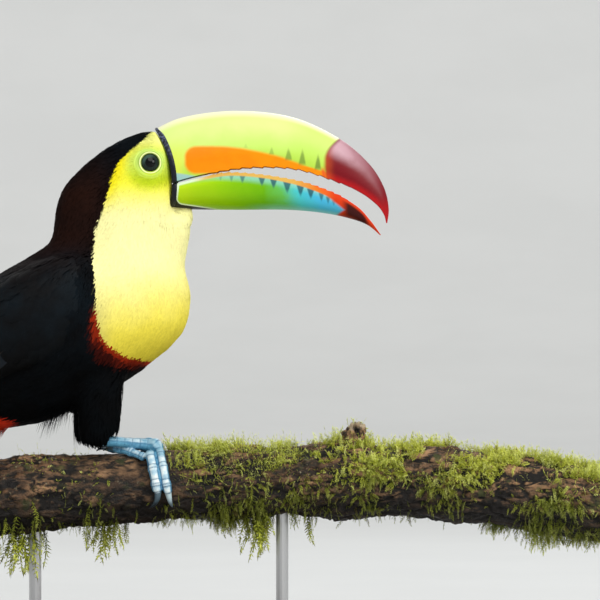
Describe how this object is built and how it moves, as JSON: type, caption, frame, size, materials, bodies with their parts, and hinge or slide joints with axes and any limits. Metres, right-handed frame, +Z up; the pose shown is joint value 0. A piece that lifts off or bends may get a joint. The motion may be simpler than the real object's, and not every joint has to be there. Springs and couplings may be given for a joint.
{
  "type": "keel-billed toucan display model on a branch",
  "caption": "Life-size toucan perched lengthwise on a short cut branch, bill a little open, held by a flat base with slim rods.",
  "frame": {"origin": "centre of the flat underside of the stand's base", "axes": "+Z up, +X the way the bird faces and the branch runs, +Y to the bird's left"},
  "size_m": [0.5594, 0.15, 0.3142],
  "materials": {
    "black_feathers": "soft glossy black plumage",
    "yellow_feathers": "fine pale yellow plumage of face, throat and breast",
    "white_feathers": "white coverts over the tail",
    "red_feathers": "red coverts under the tail",
    "bill_horn": "smooth horn: green with orange, blue and maroon areas",
    "eye": "wet and dark, with an olive iris",
    "blue_skin": "scaly blue-grey skin of legs and toes",
    "claw_horn": "dark smooth horn",
    "bark": "rough dark bark with moss",
    "dark_wood": "satin lacquered dark wood",
    "steel": "brushed"
  },
  "bodies": {
    "root": {"head": "yellow_feathers", "neck": "yellow_feathers", "trunk": "black_feathers", "bill_upper": "bill_horn", "bill_lower": "bill_horn", "eye_right": "eye", "eye_left": "eye", "wing_right": "black_feathers", "wing_left": "black_feathers", "tail": "black_feathers", "tail_coverts_upper": "white_feathers", "tail_coverts_under": "red_feathers", "left_claw_1_hind_inner": "claw_horn", "left_claw_2_front_inner": "claw_horn", "left_claw_3_front_outer": "claw_horn", "left_claw_4_hind_outer": "claw_horn", "left_shank": "blue_skin", "left_thigh": "black_feathers", "left_toe_1_hind_inner": "blue_skin", "left_toe_2_front_inner": "blue_skin", "left_toe_3_front_outer": "blue_skin", "left_toe_4_hind_outer": "blue_skin", "perch_branch": "bark", "right_claw_1_hind_inner": "claw_horn", "right_claw_2_front_inner": "claw_horn", "right_claw_3_front_outer": "claw_horn", "right_claw_4_hind_outer": "claw_horn", "right_shank": "blue_skin", "right_thigh": "black_feathers", "right_toe_1_hind_inner": "blue_skin", "right_toe_2_front_inner": "blue_skin", "right_toe_3_front_outer": "blue_skin", "right_toe_4_hind_outer": "blue_skin", "stand_base": "dark_wood", "stand_collar_front": "steel", "stand_collar_rear": "steel", "stand_rod_front": "steel", "stand_rod_rear": "steel"}
  },
  "joints": []
}
